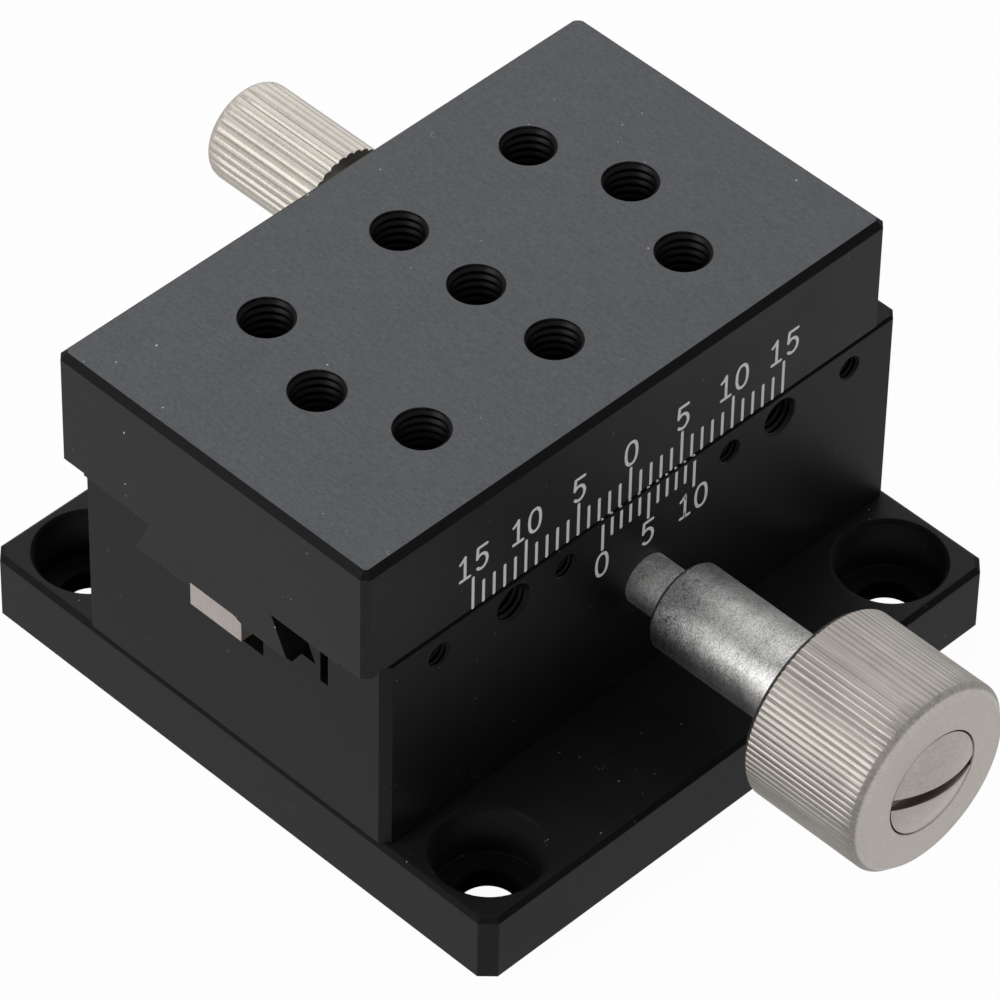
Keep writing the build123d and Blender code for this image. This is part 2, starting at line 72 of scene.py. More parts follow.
class Shell:
    """A mesh put together from grids of points, in millimetres."""

    def __init__(self) -> None:
        """Starts with no points and no faces."""
        self.points: list[np.ndarray] = []
        self.quads: list[np.ndarray] = []
        self.count = 0

    def add(self, grid: np.ndarray, wrap_rows: bool = False, wrap_columns: bool = False) -> None:
        """Adds a grid as quads: each joins a point with its next in the row, the column and both.

        Args:
            grid: Points as an array of rows x columns x 3.
            wrap_rows: Joins the last row to the first.
            wrap_columns: Joins the last column to the first.
        """
        rows, columns = grid.shape[:2]
        row = np.arange(rows if wrap_rows else rows - 1)[:, None]
        column = np.arange(columns if wrap_columns else columns - 1)[None, :]
        next_row = (row + 1) % rows
        next_column = (column + 1) % columns
        corners = [row * columns + column, next_row * columns + column,
                   next_row * columns + next_column, row * columns + next_column]
        self.quads.append(self.count + np.stack([c.ravel() for c in corners], axis=1))
        self.points.append(grid.reshape(-1, 3))
        self.count += rows * columns

    def place(self, turn: np.ndarray, move: Sequence[float]) -> "Shell":
        """Turns all points by a 3 x 3 array and then moves them.

        Args:
            turn: Rotation as a 3 x 3 array.
            move: Shift in millimetres.

        Returns:
            The shell itself.
        """
        self.points = [p @ turn.T + np.asarray(move, float) for p in self.points]
        return self

    def merge(self, other: "Shell") -> None:
        """Takes in another shell's points and faces.

        Args:
            other: The shell to add.
        """
        self.quads += [q + self.count for q in other.quads]
        self.points += other.points
        self.count += other.count

    def build(self, name: str, body: str, material: bpy.types.Material, slot: str,
              crease: float = 35.0) -> bpy.types.Object:
        """Makes the Blender object, with doubled points merged and normals outwards.

        Args:
            name: The piece's name.
            body: The CAD body that it moves with.
            material: Its finish.
            slot: Not used.
            crease: Edges that bend by more degrees than this stay sharp.

        Returns:
            The new object, placed at the origin.
        """
        mesh = bpy.data.meshes.new(name)
        points = np.concatenate(self.points) * MM
        quads = np.concatenate(self.quads)
        mesh.from_pydata(points.tolist(), [], quads.tolist())
        work = bmesh.new()
        work.from_mesh(mesh)
        bmesh.ops.remove_doubles(work, verts=work.verts, dist=2e-7)
        bmesh.ops.dissolve_degenerate(work, edges=work.edges, dist=1e-8)
        bmesh.ops.recalc_face_normals(work, faces=work.faces)
        work.to_mesh(mesh)
        work.free()
        mesh.shade_smooth()
        mesh.set_sharp_from_angle(angle=math.radians(crease))
        mesh.materials.append(material)
        piece = bpy.data.objects.new(name, mesh)
        bpy.context.scene.collection.objects.link(piece)
        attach(piece, body)
        LOG.info("%s: %d faces on %s", name, len(mesh.polygons), body)
        return piece


def turned(profile: np.ndarray, sides: int) -> np.ndarray:
    """A body of revolution round Y: each profile point (radius, y) is carried round in a circle.

    Args:
        profile: Points as radius and y.
        sides: Steps in the circle.

    Returns:
        Grid of profile points x sides.
    """
    angle = np.arange(sides) * 2 * math.pi / sides
    radius = profile[:, :1]
    y = np.broadcast_to(profile[:, 1:], (len(profile), sides))
    return np.stack([radius * np.sin(angle), y, radius * np.cos(angle)], axis=-1)


@dataclass(frozen=True)
class Ribs:
    """Straight ribs round a knob."""
    count: int
    depth: float
    flat: float = 0.2
    steps: int = 8

    def fall(self) -> tuple[np.ndarray, np.ndarray]:
        """How far the ribbed skin lies under the full radius.

        A tooth rises from its valley as the sine of its place, up to a flat tip.

        Returns:
            The angles round the knob and the fall at each of them.
        """
        turn = np.arange(self.count * self.steps) / self.steps
        place = 1 - 2 * np.abs(turn % 1 - 0.5)
        rise = np.sin(np.minimum(place / (1 - self.flat), 1) * math.pi / 2)
        return turn * 2 * math.pi / self.count, self.depth * (1 - rise)


def ribbed_band(ribs: Ribs, radius: float, start: np.ndarray, end: np.ndarray, rows: int) -> np.ndarray:
    """The ribbed skin of a knob between its two rounded or chamfered ends.

    At each angle the column follows the first end's outline from its foot up to where that
    outline reaches the rib's own radius, runs straight at that radius, and then follows the
    other end's outline down. So each rib is cut off by the ends exactly.

    Args:
        ribs: The ribs.
        radius: Radius over the tips.
        start: Outline of one end as (radius, y), with growing radius.
        end: Outline of the other end as (radius, y), with falling radius.
        rows: Points on the straight run.

    Returns:
        Grid of points along the knob x angles.
    """
    angle, fall = ribs.fall()
    skin = radius - fall
    up = np.minimum(start[:, :1], skin[None, :])
    y_up = np.interp(up, start[:, 0], start[:, 1])
    down = np.minimum(end[:, :1], skin[None, :])
    y_down = np.interp(down, end[::-1, 0], end[::-1, 1])
    share = np.linspace(0, 1, rows + 2)[1:-1, None]
    y_run = y_up[-1] + share * (y_down[0] - y_up[-1])
    r = np.concatenate([up, np.broadcast_to(skin, (rows, len(skin))), down])
    y = np.concatenate([y_up, y_run, y_down])
    return np.stack([r * np.sin(angle), y, r * np.cos(angle)], axis=-1)


class Tree:
    """Places and links nodes in one node tree."""

    def __init__(self, tree: bpy.types.NodeTree) -> None:
        """Works on the given tree.

        Args:
            tree: The node tree.
        """
        self.tree = tree

    def add(self, kind: str, inputs: dict[str | int, object] | None = None,
            **settings: object) -> bpy.types.Node:
        """Adds a node.

        Args:
            kind: Blender's name of the node type, without its leading ShaderNode.
            inputs: Values or sockets for its inputs, by name or number.
            settings: Properties of the node.

        Returns:
            The new node.
        """
        node = self.tree.nodes.new(kind if kind.startswith("NodeGroup") else "ShaderNode" + kind)
        for key, value in settings.items():
            setattr(node, key, value)
        for key, value in (inputs or {}).items():
            self.feed(node.inputs[key], value)
        return node

    def feed(self, target: Socket, value: object) -> None:
        """Links a socket to an input, or sets its value.

        Args:
            target: The input.
            value: A socket or a plain value.
        """
        if isinstance(value, bpy.types.NodeSocket):
            self.tree.links.new(value, target)
        else:
            target.default_value = value

    def math(self, operation: str, a: object, b: object = 0.0, c: object = 0.0) -> Socket:
        """Adds a Math node and returns its result.

        Args:
            operation: Blender's name of the operation.
            a: First value.
            b: Second value.
            c: Third value.

        Returns:
            The result's socket.
        """
        return self.add("Math", {0: a, 1: b, 2: c}, operation=operation).outputs[0]

    def spread(self, value: object, low: float, high: float, to_low: float = 0.0,
               to_high: float = 1.0) -> Socket:
        """Maps a range of values smoothly to another and returns the result.

        Args:
            value: The value.
            low: Where the range starts.
            high: Where it ends.
            to_low: Result at the start.
            to_high: Result at the end.

        Returns:
            The result's socket.
        """
        node = self.add("MapRange", {0: value, 1: low, 2: high, 3: to_low, 4: to_high},
                        interpolation_type="SMOOTHSTEP")
        return node.outputs[0]

    def mix(self, share: object, a: object, b: object) -> Socket:
        """Mixes two colours and returns the result.

        Args:
            share: Share of the second colour.
            a: First colour.
            b: Second colour.

        Returns:
            The result's socket.
        """
        node = self.add("Mix", {0: share, MIX_A: a, MIX_B: b}, data_type="RGBA")
        return node.outputs[MIX_RESULT]


def rgba(colour: Colour) -> tuple[float, float, float, float]:
    """The colour with full alpha."""
    return (*colour, 1.0)


class EffectGroup(Enum):
    """Shared shader groups and their names in the file."""
    GRAIN = "machining_grain"
    DUST = "dust_specks"
    CLOUD = "handled_clouds"
    EDGE = "soft_edges"


def open_group(kind: EffectGroup, inputs: dict[str, str], outputs: dict[str, str]) -> tuple[Tree, dict, dict]:
    """Makes an empty shader group with its sockets.

    Args:
        kind: Which group.
        inputs: Socket types by input name.
        outputs: Socket types by output name.

    Returns:
        The tree helper, the inner input sockets and the inner output sockets, by name.
    """
    group = bpy.data.node_groups.new(kind.value, "ShaderNodeTree")
    for name, socket_type in inputs.items():
        group.interface.new_socket(name, in_out="INPUT", socket_type=socket_type)
    for name, socket_type in outputs.items():
        group.interface.new_socket(name, in_out="OUTPUT", socket_type=socket_type)
    tree = Tree(group)
    source = tree.add("NodeGroupInput")
    sink = tree.add("NodeGroupOutput")
    return tree, {s.name: s for s in source.outputs}, {s.name: s for s in sink.inputs}


FLOAT, VECTOR = "NodeSocketFloat", "NodeSocketVector"


def make_grain_group() -> None:
    """Fine lines: two noises, one finer, on a space that the material has stretched along the lines."""
    tree, given, out = open_group(EffectGroup.GRAIN, {"Vector": VECTOR, "Scale": FLOAT},
                                  {"Tone": FLOAT, "Height": FLOAT})
    fine = tree.add("TexNoise", {"Vector": given["Vector"], "Scale": given["Scale"], "Detail": 3.0,
                                 "Roughness": 0.65})
    coarse_share = 0.2
    coarse_scale = tree.math("MULTIPLY", given["Scale"], 0.22)
    coarse = tree.add("TexNoise", {"Vector": given["Vector"], "Scale": coarse_scale, "Detail": 2.0,
                                   "Roughness": 0.5})
    part = tree.math("MULTIPLY", fine.outputs[0], 1 - coarse_share)
    both = tree.math("MULTIPLY_ADD", coarse.outputs[0], coarse_share, part)
    tree.feed(out["Tone"], tree.spread(both, 0.34, 0.66))
    tree.feed(out["Height"], both)


def make_dust_group() -> None:
    """Sparse specks: round cells, of which a random few hold a small dot or a short thread."""
    bend = (0.00022, 0.00022, 0.00022)
    dot_least, dot_range, dot_edge = 0.035, 0.10, 0.03
    thread_scale, thread_share, thread_level = 0.45, 0.3, 0.5
    ring_radius, ring_core, ring_edge = 0.16, 0.004, 0.016
    tree, given, out = open_group(EffectGroup.DUST, {"Vector": VECTOR, "Scale": FLOAT, "Share": FLOAT},
                                  {"Mask": FLOAT})
    finer = tree.math("MULTIPLY", given["Scale"], 3.0)
    wobble = tree.add("TexNoise", {"Vector": given["Vector"], "Scale": finer, "Detail": 2.0})
    bent = tree.add("VectorMath", {0: wobble.outputs[1], 1: bend, 2: given["Vector"]},
                    operation="MULTIPLY_ADD")
    dots = tree.add("TexVoronoi", {"Vector": bent.outputs[0], "Scale": given["Scale"]})
    tint = tree.add("SeparateColor", {0: dots.outputs["Color"]})
    chosen = tree.math("LESS_THAN", tint.outputs[0], given["Share"])
    size = tree.math("MULTIPLY_ADD", tree.math("POWER", tint.outputs[1], 3.0), dot_range, dot_least)
    near = tree.math("SUBTRACT", size, dots.outputs["Distance"])
    dot = tree.math("MULTIPLY", chosen, tree.spread(near, 0.0, dot_edge))
    threads = tree.add("TexVoronoi", {"Vector": bent.outputs[0],
                                      "Scale": tree.math("MULTIPLY", given["Scale"], thread_scale)})
    hue = tree.add("SeparateColor", {0: threads.outputs["Color"]})
    picked = tree.math("LESS_THAN", hue.outputs[0], tree.math("MULTIPLY", given["Share"], thread_share))
    ring = tree.math("ABSOLUTE", tree.math("SUBTRACT", threads.outputs["Distance"], ring_radius))
    line = tree.math("SUBTRACT", 1.0, tree.spread(ring, ring_core, ring_edge))
    arc = tree.math("GREATER_THAN", wobble.outputs[0], 0.56)
    hair = tree.math("MULTIPLY", tree.math("MULTIPLY", picked, line), arc)
    level = tree.spread(tint.outputs[2], 0.0, 1.0, 0.25, 1.0)
    tree.feed(out["Mask"], tree.math("MAXIMUM", tree.math("MULTIPLY", dot, level),
                                     tree.math("MULTIPLY", hair, thread_level)))


def make_cloud_group() -> None:
    """Slow, soft clouds from one coarse noise."""
    tree, given, out = open_group(EffectGroup.CLOUD, {"Vector": VECTOR, "Scale": FLOAT}, {"Tone": FLOAT})
    noise = tree.add("TexNoise", {"Vector": given["Vector"], "Scale": given["Scale"], "Detail": 3.0,
                                  "Roughness": 0.6})
    tree.feed(out["Tone"], tree.spread(noise.outputs[0], 0.3, 0.7))


def make_edge_group() -> None:
    """Rounded normals near edges."""
    tree, given, out = open_group(EffectGroup.EDGE, {"Radius": FLOAT}, {"Normal": VECTOR})
    tree.feed(out["Normal"], tree.add("Bevel", {"Radius": given["Radius"]}, samples=6).outputs[0])


@dataclass(frozen=True)
class Finish:
    """One finish, with machining lines, dust, clouds, softened edges, and where set, painted light on faces
    that look one way and painted shade in bores.

    Scales are in cells per metre, grain_bump and edge_radius in metres, and the painted-light level
    and the bores' place and reach in millimetres.
    """
    name: str
    colour: Colour
    tone_colour: Colour
    roughness: float
    metallic: float
    way: Way = Way.ALONG_Y
    grain_scale: float = 9000.0
    stretch: float = 0.06
    grain_bump: float = 0.00001
    grain_strength: float = 0.3
    rough_swing: float = 0.06
    specular: float = 0.5
    edge_radius: float = 0.00006
    cloud_scale: float = 140.0
    cloud_share: float = 0.35
    dust_share: float = 0.0
    dust_scale: float = 900.0
    dust_colour: Colour = (0.55, 0.55, 0.53)
    ground_colour: Colour | None = None
    ground_side: Colour = (0.0, 0.0, 1.0)
    ground_level: float = 0.0
    ground_look: float = 0.9
    ground_blend: float = 0.09
    ground_swing: float = 0.3
    slope_shade: float = 0.0
    bore_spot: float = 0.0
    bore_reach: float = 0.0

    def stretched(self, tree: Tree, vector: Socket) -> Socket:
        """Space stretched along the machining lines.

        Args:
            tree: The material's tree.
            vector: Object coordinates.

        Returns:
            The stretched coordinates.
        """
        if self.way is Way.ROUND_Y:
            part = tree.add("SeparateXYZ", {0: vector})
            ring = tree.add("CombineXYZ", {0: 0.0, 1: part.outputs[1], 2: 0.0})
            return tree.add("VectorMath", {0: ring.outputs[0], 1: tree.add(
                "VectorMath", {0: vector, "Scale": self.stretch}, operation="SCALE").outputs[0]},
                operation="ADD").outputs[0]
        scale = [1.0, 1.0, 1.0]
        scale["xyz".index(self.way.value)] = self.stretch
        return tree.add("Mapping", {"Vector": vector, "Scale": scale}).outputs[0]

    @cache
    def make(self) -> bpy.types.Material:
        """Builds the material at the first call.

        Returns:
            The material.
        """
        material = bpy.data.materials.new(self.name)
        material.use_nodes = True
        tree = Tree(material.node_tree)
        shader = material.node_tree.nodes["Principled BSDF"]
        vector = tree.add("TexCoord").outputs["Object"]
        grain = self.effect(tree, EffectGroup.GRAIN, {"Vector": self.stretched(tree, vector),
                                                      "Scale": self.grain_scale})
        cloud = self.effect(tree, EffectGroup.CLOUD, {"Vector": vector, "Scale": self.cloud_scale})
        edge = self.effect(tree, EffectGroup.EDGE, {"Radius": self.edge_radius})
        lines = tree.math("MULTIPLY", grain.outputs[0], 1 - self.cloud_share)
        tone = tree.math("MULTIPLY_ADD", cloud.outputs[0], self.cloud_share, lines)
        colour = tree.mix(tone, rgba(self.colour), rgba(self.tone_colour))
        # Painted light: faces that look one way, beyond a level, get a lighter colour streaked by the grain,
        # standing in for the light they catch.
        if self.ground_colour is not None:
            streaks = tree.spread(grain.outputs[0], 0.25, 0.75)
            low = tuple((1 - self.ground_swing) * c for c in self.ground_colour)
            ground = tree.mix(streaks, rgba(low), rgba(self.ground_colour))
            colour = tree.mix(self.ground(tree, vector), colour, ground)
        rough = tree.math("MULTIPLY_ADD", tone, self.rough_swing, self.roughness - self.rough_swing / 2)
        if self.dust_share > 0:
            dust = self.effect(tree, EffectGroup.DUST, {"Vector": vector, "Scale": self.dust_scale,
                                                        "Share": self.dust_share})
            colour = tree.mix(dust.outputs[0], colour, rgba(self.dust_colour))
            rough = tree.math("MAXIMUM", rough, tree.math("MULTIPLY", dust.outputs[0], 0.9))
        bump = tree.add("Bump", {"Strength": self.grain_strength, "Distance": self.grain_bump,
                                 "Height": grain.outputs[1], "Normal": edge.outputs[0]})
        tree.feed(shader.inputs["Base Color"], colour)
        tree.feed(shader.inputs["Roughness"], rough)
        tree.feed(shader.inputs["Metallic"], self.metallic)
        tree.feed(shader.inputs["Normal"], bump.outputs[0])
        shine: object = self.specular
        if self.slope_shade > 0:
            loss = self.slope_shade * self.specular
            shine = tree.math("MULTIPLY_ADD", self.slopes(tree), -loss, self.specular)
        # Painted shade: the bores' walls lose their shine, so they stay as dark as the shade inside them.
        if self.bore_reach > 0:
            shine = tree.math("MULTIPLY", shine, tree.math("SUBTRACT", 1.0, self.bores(tree, vector)))
        tree.feed(shader.inputs["Specular IOR Level"], shine)
        return material

    def bores(self, tree: Tree, vector: Socket) -> Socket:
        """Mask of the painted shade in the four corner bores, whose axes lie equally far from the middle in X
        and in Y.

        Args:
            tree: The material's tree.
            vector: Object coordinates.

        Returns:
            The mask's socket.
        """
        quarter = tree.add("VectorMath", {0: vector}, operation="ABSOLUTE").outputs[0]
        flat = tree.add("VectorMath", {0: quarter, 1: (1.0, 1.0, 0.0)}, operation="MULTIPLY").outputs[0]
        spot = (self.bore_spot * MM, self.bore_spot * MM, 0.0)
        reach = tree.add("VectorMath", {0: flat, 1: spot}, operation="DISTANCE")
        return tree.math("LESS_THAN", reach.outputs["Value"], self.bore_reach * MM)

    def slopes(self, tree: Tree) -> Socket:
        """Mask of faces that slope upwards, such as the chamfers round a top face.

        Args:
            tree: The material's tree.

        Returns:
            The mask's socket.
        """
        rise = tree.add("SeparateXYZ", {0: tree.add("TexCoord").outputs["Normal"]}).outputs[2]
        from_upright, from_level = (0.3, 0.5), (0.95, 0.85)
        return tree.math("MULTIPLY", tree.spread(rise, *from_upright), tree.spread(rise, *from_level))

    def ground(self, tree: Tree, vector: Socket) -> Socket:
        """Mask of the faces that get painted light: faces that look its way, at or beyond its level that way.

        Args:
            tree: The material's tree.
            vector: Object coordinates.

        Returns:
            The mask's socket.
        """
        normal = tree.add("TexCoord").outputs["Normal"]
        look = tree.add("VectorMath", {0: normal, 1: self.ground_side}, operation="DOT_PRODUCT")
        level = tree.add("VectorMath", {0: vector, 1: self.ground_side}, operation="DOT_PRODUCT")
        beyond = tree.math("GREATER_THAN", level.outputs["Value"], self.ground_level * MM)
        faces = tree.spread(look.outputs["Value"], self.ground_look, self.ground_look + self.ground_blend)
        return tree.math("MULTIPLY", beyond, faces)

    def effect(self, tree: Tree, kind: EffectGroup, inputs: dict[str, object]) -> bpy.types.Node:
        """Places a shared group in the material.

        Args:
            tree: The material's tree.
            kind: Which group.
            inputs: Its inputs by name.

        Returns:
            The group's node.
        """
        node = tree.tree.nodes.new("ShaderNodeGroup")
        node.node_tree = bpy.data.node_groups[kind.value]
        for name, value in inputs.items():
            tree.feed(node.inputs[name], value)
        return node


# The platform's top gets painted light: a far lighter colour than its sides, for the soft light that it
# catches from above.
PLATFORM_BLACK = Finish("platform_black_anodised", (0.0060, 0.0062, 0.0066), (0.0100, 0.0102, 0.0108),
                        0.46, 0.0, way=Way.ALONG_Y, stretch=0.13, grain_scale=16000.0, dust_share=0.14,
                        dust_scale=1300.0, specular=0.12, rough_swing=0.16, grain_strength=0.5,
                        ground_colour=(0.100, 0.103, 0.109), ground_level=33.4, slope_shade=0.75)
BODY_BLACK = Finish("body_black_anodised", (0.0030, 0.0032, 0.0031), (0.0055, 0.0057, 0.0056), 0.46, 0.0,
                    way=Way.ALONG_X, dust_share=0.22, dust_scale=1500.0, specular=0.095, slope_shade=0.75)
# The base's corner bores get painted shade: their walls lose their shine.
BASE_BLACK = Finish("base_black_anodised", (0.0060, 0.0062, 0.0062), (0.0100, 0.0102, 0.0102), 0.46, 0.0,
                    way=Way.ALONG_X, dust_share=0.22, dust_scale=1500.0, specular=0.09, edge_radius=0.0002,
                    slope_shade=0.75, bore_spot=20.0, bore_reach=2.4)
THREAD_BLACK = Finish("thread_black", (0.0008, 0.0008, 0.0009), (0.0016, 0.0016, 0.0017), 0.42, 0.0,
                      way=Way.ALONG_Z, specular=0.1)
RACK_STEEL = Finish("rack_steel", (0.29, 0.252, 0.235), (0.39, 0.352, 0.330), 0.45, 0.75, way=Way.ALONG_X)
SHAFT_STEEL = Finish("dark_shaft_steel", (0.10, 0.099, 0.097), (0.62, 0.612, 0.60), 0.42, 1.0,
                     way=Way.ROUND_Y, stretch=1.2, grain_scale=5500.0, grain_strength=0.9, rough_swing=0.16)
# A lighter copy of the shaft steel for the drive shaft's neck: painted light, for the light that the neck
# catches.
PAINTED_LIT_STEEL = Finish("painted_lit_shaft_steel", (0.30, 0.297, 0.29), (0.95, 0.94, 0.925), 0.50, 1.0,
                    way=Way.ROUND_Y, stretch=1.2, grain_scale=5500.0, grain_strength=0.9, rough_swing=0.16)
NICKEL = Finish("satin_nickel", (0.33, 0.309, 0.278), (0.43, 0.403, 0.364), 0.46, 1.0,
                way=Way.ROUND_Y, stretch=0.25, grain_scale=8000.0, rough_swing=0.1)
# The knob's front face and chamfer get painted light: a lighter colour than its ribs, for the light that they
# catch.
KNURL_NICKEL = Finish("knurled_nickel", (0.17, 0.158, 0.146), (0.31, 0.29, 0.265), 0.46, 1.0,
                      way=Way.ALONG_Y, stretch=0.02, grain_scale=5000.0, rough_swing=0.1,
                      ground_colour=(0.46, 0.428, 0.396), ground_side=(0.0, -1.0, 0.0), ground_level=41.0,
                      ground_look=0.64, ground_swing=0.1)
SCREW_NICKEL = Finish("end_screw_nickel", (0.32, 0.285, 0.262), (0.42, 0.38, 0.35), 0.32, 1.0,
                      way=Way.ALONG_X, stretch=0.4, grain_scale=6000.0)
BLACK_OXIDE = Finish("black_oxide_steel", (0.010, 0.010, 0.011), (0.025, 0.025, 0.026), 0.35, 0.6,
                     way=Way.ROUND_Y, stretch=0.4)
BRASS = Finish("turned_brass", (0.50, 0.33, 0.12), (0.68, 0.47, 0.19), 0.30, 1.0,
               way=Way.ROUND_Y, stretch=0.3)
BUSH_BLACK = Finish("bush_polymer", (0.0030, 0.0032, 0.0031), (0.0055, 0.0057, 0.0056), 0.46, 0.0,
                    way=Way.ROUND_Y, specular=0.12)
SCALE_PAINT = Finish("scale_paint", (0.84, 0.85, 0.85), (0.97, 0.98, 0.98), 0.55, 0.0,
                     way=Way.ALONG_Z, stretch=0.8, grain_scale=7000.0, edge_radius=0.00001)


def dress(finish: Finish, *nodes: str) -> None:
    """Gives CAD nodes their finish on every material slot.

    Args:
        finish: The finish.
        nodes: The nodes' names.
    """
    for node in nodes:
        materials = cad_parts[node].data.materials
        materials.clear()
        materials.append(finish.make())
        LOG.info("%s: finish %s", node, finish.name)


class Measured:
    """Box of a CAD node at rest, in millimetres, to a hundredth."""

    def __init__(self, node: str) -> None:
        """Measures a node.

        Args:
            node: Its name.
        """
        corners = np.round(np.array(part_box(node)) / MM, 2)
        self.low, self.high = corners
        self.middle = np.round(corners.mean(axis=0), 2)


@dataclass
class Thread:
    """The inside of one threaded hole as a sleeve of helical ridges."""
    radius: float
    crest: float
    pitch: float
    depth: float
    mouth: float
    steps: int = 40
    clearance: float = 0.004
    wall: float = 0.0005

    def shell(self) -> Shell:
        """A strip along the helix, whose section is one thread, closed by the hole's wall.

        A point lies at the thread section's radius, and its depth grows by one pitch a turn.
        Points above the mouth are held at it, and none reaches inside the mouth's cone.

        Returns:
            The sleeve round Z, with its mouth at z = 0 and the hole below.
        """
        root = self.radius - self.clearance
        # Points as share of the pitch and radius.
        section = np.array([[0.0, root], [0.10, root], [0.42, self.crest + 0.03], [0.5, self.crest],
                            [0.62, self.crest], [0.70, self.crest + 0.03], [1.0, root]])
        turns = self.depth / self.pitch
        t = np.arange(-self.steps, int(turns * self.steps))[:, None] / self.steps
        z = -(t + section[None, :, 0]) * self.pitch
        z = np.clip(z, -self.depth, 0.0)
        cone = self.mouth + z
        radius = np.clip(np.maximum(section[None, :, 1], cone), None, self.mouth)
        radius = np.broadcast_to(radius, z.shape)
        angle = t * 2 * math.pi
        inner = np.stack([radius * np.cos(angle), radius * np.sin(angle), z], axis=-1)
        outer = inner.copy()
        reach = np.maximum(radius, root) + self.wall
        outer[..., 0] = reach * np.cos(angle)
        outer[..., 1] = reach * np.sin(angle)
        shell = Shell()
        shell.add(np.concatenate([inner, outer[:, ::-1]], axis=1), wrap_columns=True)
        return shell


TURN_UP = np.eye(3)
TURN_FRONT = np.array([[1.0, 0.0, 0.0], [0.0, 0.0, -1.0], [0.0, 1.0, 0.0]])


@dataclass
class Platform:
    """Platform with its threaded holes, its rack and the rack's screws."""
    row_step: float = 12.5
    row_side: float = 7.5
    centre_step: float = 15.0
    thread: Thread = field(default_factory=lambda: Thread(2.0, 1.78, 0.7, 6.9, 2.06))

    def holes(self) -> list[tuple[float, float]]:
        """Centres of the nine holes from the platform's middle: two rows and a wider one between."""
        rows = [(self.row_step * n, self.row_side * side) for side in (-1, 1) for n in (-1, 0, 1)]
        return rows + [(self.centre_step * n, 0.0) for n in (-1, 0, 1)]

    def build(self) -> None:
        """Builds the threads and dresses the platform, rack and rack screws."""
        plate = Measured("slide_plate")
        shell = Shell()
        for x, y in self.holes():
            shell.merge(self.thread.shell().place(TURN_UP, (x + plate.middle[0], y, plate.high[2])))
        shell.build("platform_threads", "slide", THREAD_BLACK.make(), "anodised")
        dress(PLATFORM_BLACK, "slide_plate")
        dress(RACK_STEEL, "rack")
        dress(BLACK_OXIDE, "rack_screws")


@dataclass
class BodyBlock:
    """Body with its side threads and the pieces inside it."""
    large_places: tuple[float, ...] = (-13.0, 13.0)
    small_places: tuple[float, ...] = (-20.0, -8.0, 8.0, 20.0)
    large: Thread = field(default_factory=lambda: Thread(1.5, 1.26, 0.5, 4.7, 1.56))
    small: Thread = field(default_factory=lambda: Thread(1.0, 0.82, 0.4, 1.25, 1.0))

    def build(self) -> None:
        """Builds the side threads and dresses the body and what it holds."""
        front = Measured("body_block").low[1]
        level = Measured("gib_set_screws").middle[2]
        shell = Shell()
        for thread, places in ((self.large, self.large_places), (self.small, self.small_places)):
            for x in places:
                shell.merge(thread.shell().place(TURN_FRONT, (x, front, level)))
        shell.build("side_threads", "base", THREAD_BLACK.make(), "anodised")
        dress(BODY_BLACK, "body_block")
        dress(BASE_BLACK, "base_plate")
        dress(BLACK_OXIDE, "gib_set_screws", "body_screws")
        dress(BUSH_BLACK, "front_bush", "rear_bush")
        dress(SHAFT_STEEL, "travel_stop_pin")


